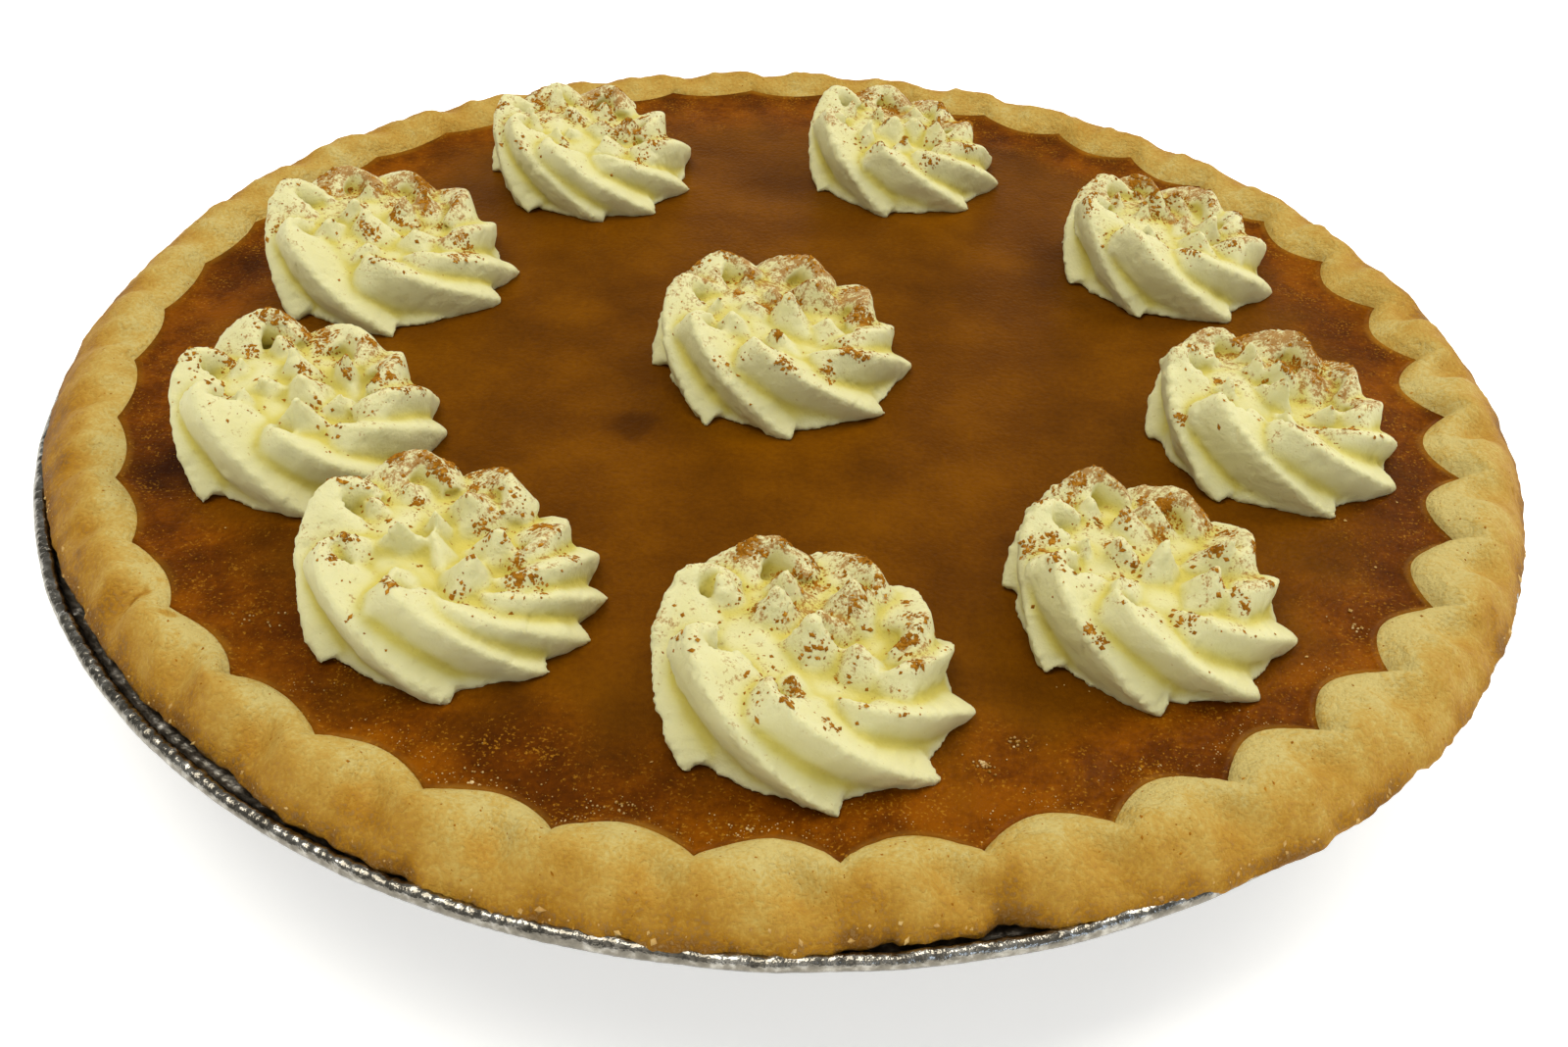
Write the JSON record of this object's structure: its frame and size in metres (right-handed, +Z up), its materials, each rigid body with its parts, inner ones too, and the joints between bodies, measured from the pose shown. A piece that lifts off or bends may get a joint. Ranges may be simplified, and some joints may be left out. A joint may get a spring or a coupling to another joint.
{
  "type": "pumpkin pie",
  "caption": "Whole uncut pumpkin pie with a hand-fluted crust, dark baked custard and piped whipped-cream rosettes, served in its own foil tin.",
  "frame": {"origin": "centre of the underside of the tin", "axes": "+Z up through the middle of the pie, -Y towards the viewer, +X to the viewer's right"},
  "size_m": [0.254, 0.254, 0.0549],
  "materials": {
    "aluminium_foil": "bright pressed foil",
    "baked_crust": "dry baked pastry, browned towards the edge",
    "pumpkin_custard": "smooth set custard with a soft shine",
    "whipped_cream": "soft piped cream"
  },
  "bodies": {
    "root": {"tin": "aluminium_foil", "crust": "baked_crust", "filling": "pumpkin_custard", "rosette_01": "whipped_cream", "rosette_02": "whipped_cream", "rosette_03": "whipped_cream", "rosette_04": "whipped_cream", "rosette_05": "whipped_cream", "rosette_06": "whipped_cream", "rosette_07": "whipped_cream", "rosette_08": "whipped_cream", "rosette_09": "whipped_cream", "rosette_10": "whipped_cream"}
  },
  "joints": []
}
